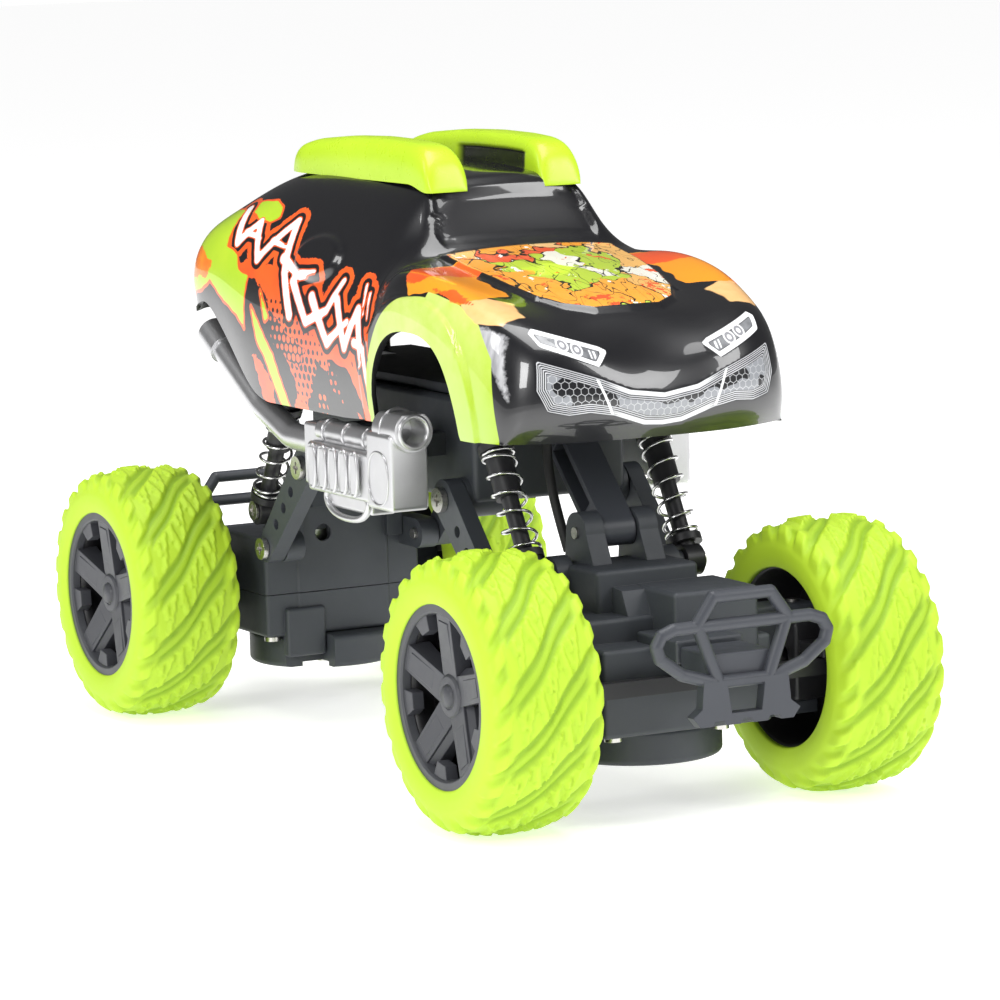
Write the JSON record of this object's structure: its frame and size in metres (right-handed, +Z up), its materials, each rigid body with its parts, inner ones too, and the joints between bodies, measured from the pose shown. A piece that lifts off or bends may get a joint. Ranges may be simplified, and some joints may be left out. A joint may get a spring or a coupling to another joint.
{
  "type": "radio-controlled rock crawler car",
  "caption": "Electric four-wheel-drive crawler model car with live axles on trailing links, coil shocks, front steering, twin motors and a painted pickup-style body.",
  "frame": {"origin": "on the ground plane under the middle of the wheelbase, on the car's centre plane", "axes": "+X forward to the steered axle, +Y to the car's left, +Z up"},
  "size_m": [0.2904, 0.1276, 0.1648],
  "materials": {
    "body_paint": "gloss clear coat over black paint, abstract flame art",
    "lime_plastic": "satin moulded",
    "lime_rubber": "matt soft rubber",
    "rim_plastic": "satin moulded, dark blue grey",
    "bumper_plastic": "satin moulded, blue grey",
    "housing_plastic": "matt moulded, dark blue grey",
    "black_plastic": "satin moulded, black",
    "silver_plastic": "satin silver paint",
    "white_nylon": "natural nylon",
    "screw_steel": "nickel plated",
    "spring_steel": "bright drawn wire",
    "motor_steel": "plated can",
    "shaft_steel": "ground",
    "battery_wrap": "shrink film",
    "board": "solder mask",
    "sleeve_rubber": "soft black sleeve",
    "red_insulation": "soft red insulation"
  },
  "bodies": {
    "chassis": {"chassis_tub": "housing_plastic", "chassis_deck": "housing_plastic", "body_shell": "body_paint", "roof_pods": "lime_plastic", "engine_left": "silver_plastic", "engine_right": "silver_plastic", "exhaust_left": "silver_plastic", "exhaust_right": "silver_plastic", "battery_pack": "battery_wrap", "battery_cover": "black_plastic", "circuit_board": "board", "chassis_screws": "screw_steel", "front_lead_sleeve": "sleeve_rubber", "front_lead_core": "red_insulation"},
    "switch": {"switch_knob": "black_plastic"},
    "front_arms": {"front_arm_left": "housing_plastic", "front_arm_right": "housing_plastic"},
    "front_upper_link": {"front_upper_link": "bumper_plastic"},
    "front_axle": {"front_axle_case_lower": "housing_plastic", "front_axle_case_upper": "housing_plastic", "front_gear_cover": "housing_plastic", "front_motor": "motor_steel", "front_bumper": "bumper_plastic", "steering_motor": "motor_steel", "front_axle_screws": "screw_steel"},
    "front_shock_barrels": {"front_shock_barrels": "black_plastic", "front_shock_springs": "spring_steel"},
    "front_shock_rods": {"front_shock_rods": "black_plastic"},
    "knuckle_left": {"steering_knuckle_left": "black_plastic"},
    "knuckle_right": {"steering_knuckle_right": "black_plastic"},
    "steering_rack": {"steering_rack": "black_plastic"},
    "steering_pinion": {"steering_pinion": "white_nylon"},
    "front_left_wheel": {"front_left_tyre": "lime_rubber", "front_left_rim": "rim_plastic", "front_wheel_cup_left": "black_plastic"},
    "front_right_wheel": {"front_right_tyre": "lime_rubber", "front_right_rim": "rim_plastic", "front_wheel_cup_right": "black_plastic"},
    "front_drive": {"front_drive_shaft": "shaft_steel"},
    "front_idler": {"front_idler_gear": "white_nylon"},
    "front_motor_pinion": {"front_motor_pinion": "white_nylon"},
    "rear_arms": {"rear_arm_left": "housing_plastic", "rear_arm_right": "housing_plastic"},
    "rear_upper_link": {"rear_upper_link": "bumper_plastic"},
    "rear_axle": {"rear_axle_case_lower": "housing_plastic", "rear_axle_case_upper": "housing_plastic", "rear_gear_cover": "housing_plastic", "rear_motor": "motor_steel", "rear_bumper": "bumper_plastic", "rear_axle_screws": "screw_steel"},
    "rear_shock_barrels": {"rear_shock_barrels": "black_plastic", "rear_shock_springs": "spring_steel"},
    "rear_shock_rods": {"rear_shock_rods": "black_plastic"},
    "rear_wheels": {"rear_left_tyre": "lime_rubber", "rear_right_tyre": "lime_rubber", "rear_left_rim": "rim_plastic", "rear_right_rim": "rim_plastic", "rear_axle_shaft": "shaft_steel"},
    "rear_idler": {"rear_idler_gear": "white_nylon"},
    "rear_motor_pinion": {"rear_motor_pinion": "white_nylon"}
  },
  "joints": [
    {"name": "front_suspension", "type": "hinge", "parent": "chassis", "child": "front_arms", "pos_m": [0.042, 0, 0.074], "axis": [0, -1, 0], "range_deg": [0, 12], "stiffness_Nm_per_rad": 0.6, "springref_deg": -8.59},
    {"name": "front_axle_pivot", "type": "hinge", "parent": "front_arms", "child": "front_axle", "pos_m": [0.067, 0, 0.049], "axis": [0, -1, 0], "range_deg": [-12, 0]},
    {"name": "front_upper_link_pivot", "type": "hinge", "parent": "chassis", "child": "front_upper_link", "pos_m": [0.055, 0, 0.093], "axis": [0, -1, 0], "range_deg": [0, 12]},
    {"name": "front_shock_swing", "type": "hinge", "parent": "chassis", "child": "front_shock_barrels", "pos_m": [0.058, 0, 0.095], "axis": [0, -1, 0], "range_deg": [0, 9.76]},
    {"name": "front_shock_slide", "type": "slide", "parent": "front_shock_barrels", "child": "front_shock_rods", "axis": [-0.4936, 0, 0.8697], "range_m": [0, 0.0021], "deforming": ["front_shock_springs"]},
    {"name": "rear_suspension", "type": "hinge", "parent": "chassis", "child": "rear_arms", "pos_m": [-0.042, 0, 0.074], "axis": [0, 1, 0], "range_deg": [0, 12], "stiffness_Nm_per_rad": 0.6, "springref_deg": -8.59},
    {"name": "rear_axle_pivot", "type": "hinge", "parent": "rear_arms", "child": "rear_axle", "pos_m": [-0.067, 0, 0.049], "axis": [0, 1, 0], "range_deg": [-12, 0]},
    {"name": "rear_upper_link_pivot", "type": "hinge", "parent": "chassis", "child": "rear_upper_link", "pos_m": [-0.055, 0, 0.093], "axis": [0, 1, 0], "range_deg": [0, 12]},
    {"name": "rear_shock_swing", "type": "hinge", "parent": "chassis", "child": "rear_shock_barrels", "pos_m": [-0.058, 0, 0.095], "axis": [0, 1, 0], "range_deg": [0, 9.76]},
    {"name": "rear_shock_slide", "type": "slide", "parent": "rear_shock_barrels", "child": "rear_shock_rods", "axis": [0.4936, 0, 0.8697], "range_m": [0, 0.0021], "deforming": ["rear_shock_springs"]},
    {"name": "steer_left", "type": "hinge", "parent": "front_axle", "child": "knuckle_left", "pos_m": [0.104, 0.038, 0.035], "axis": [0, 0, 1], "range_deg": [-14, 14]},
    {"name": "steer_right", "type": "hinge", "parent": "front_axle", "child": "knuckle_right", "pos_m": [0.104, -0.038, 0.035], "axis": [0, 0, 1], "range_deg": [-14, 14]},
    {"name": "steering_rack_slide", "type": "slide", "parent": "front_axle", "child": "steering_rack", "axis": [0, 1, 0], "range_m": [-0.0041, 0.0041]},
    {"name": "steering_pinion_turn", "type": "hinge", "parent": "front_axle", "child": "steering_pinion", "pos_m": [0.11425, 0.008, 0.035], "axis": [0, 0, 1], "range_deg": [-56, 56]},
    {"name": "front_left_wheel_spin", "type": "hinge", "parent": "knuckle_left", "child": "front_left_wheel", "pos_m": [0.104, 0.0483, 0.035], "axis": [0, 1, 0], "continuous": true},
    {"name": "front_right_wheel_spin", "type": "hinge", "parent": "knuckle_right", "child": "front_right_wheel", "pos_m": [0.104, -0.0483, 0.035], "axis": [0, 1, 0], "continuous": true},
    {"name": "front_drive_spin", "type": "hinge", "parent": "front_axle", "child": "front_drive", "pos_m": [0.104, 0, 0.035], "axis": [0, 1, 0], "continuous": true},
    {"name": "rear_wheels_spin", "type": "hinge", "parent": "rear_axle", "child": "rear_wheels", "pos_m": [-0.104, 0, 0.035], "axis": [0, 1, 0], "continuous": true},
    {"name": "front_idler_spin", "type": "hinge", "parent": "front_axle", "child": "front_idler", "pos_m": [0.08921, 0, 0.03404], "axis": [0, 1, 0], "continuous": true},
    {"name": "front_motor_spin", "type": "hinge", "parent": "front_axle", "child": "front_motor_pinion", "pos_m": [0.088, 0, 0.046], "axis": [0, 1, 0], "continuous": true},
    {"name": "rear_idler_spin", "type": "hinge", "parent": "rear_axle", "child": "rear_idler", "pos_m": [-0.08921, 0, 0.03404], "axis": [0, 1, 0], "continuous": true},
    {"name": "rear_motor_spin", "type": "hinge", "parent": "rear_axle", "child": "rear_motor_pinion", "pos_m": [-0.088, 0, 0.046], "axis": [0, 1, 0], "continuous": true},
    {"name": "switch_slide", "type": "slide", "parent": "chassis", "child": "switch", "axis": [1, 0, 0], "range_m": [0, 0.003]}
  ],
  "couplings": [
    {"joint": "front_axle_pivot", "follows": "front_suspension", "ratio": -1},
    {"joint": "front_upper_link_pivot", "follows": "front_suspension", "ratio": 1},
    {"joint": "front_shock_swing", "follows": "front_suspension", "ratio": 0.8124},
    {"joint": "front_shock_slide", "follows": "front_suspension", "m_per_rad": 0.010023},
    {"joint": "rear_axle_pivot", "follows": "rear_suspension", "ratio": -1},
    {"joint": "rear_upper_link_pivot", "follows": "rear_suspension", "ratio": 1},
    {"joint": "rear_shock_swing", "follows": "rear_suspension", "ratio": 0.8124},
    {"joint": "rear_shock_slide", "follows": "rear_suspension", "m_per_rad": 0.010023},
    {"joint": "steer_right", "follows": "steer_left", "ratio": 1},
    {"joint": "steering_rack_slide", "follows": "steer_left", "m_per_rad": 0.016581},
    {"joint": "steering_pinion_turn", "follows": "steer_left", "ratio": 3.948},
    {"joint": "front_right_wheel_spin", "follows": "front_left_wheel_spin", "ratio": 1},
    {"joint": "front_drive_spin", "follows": "front_left_wheel_spin", "ratio": 1},
    {"joint": "front_idler_spin", "follows": "front_left_wheel_spin", "ratio": -3.2},
    {"joint": "front_motor_spin", "follows": "front_left_wheel_spin", "ratio": 10.4},
    {"joint": "rear_idler_spin", "follows": "rear_wheels_spin", "ratio": -3.2},
    {"joint": "rear_motor_spin", "follows": "rear_wheels_spin", "ratio": 10.4}
  ]
}
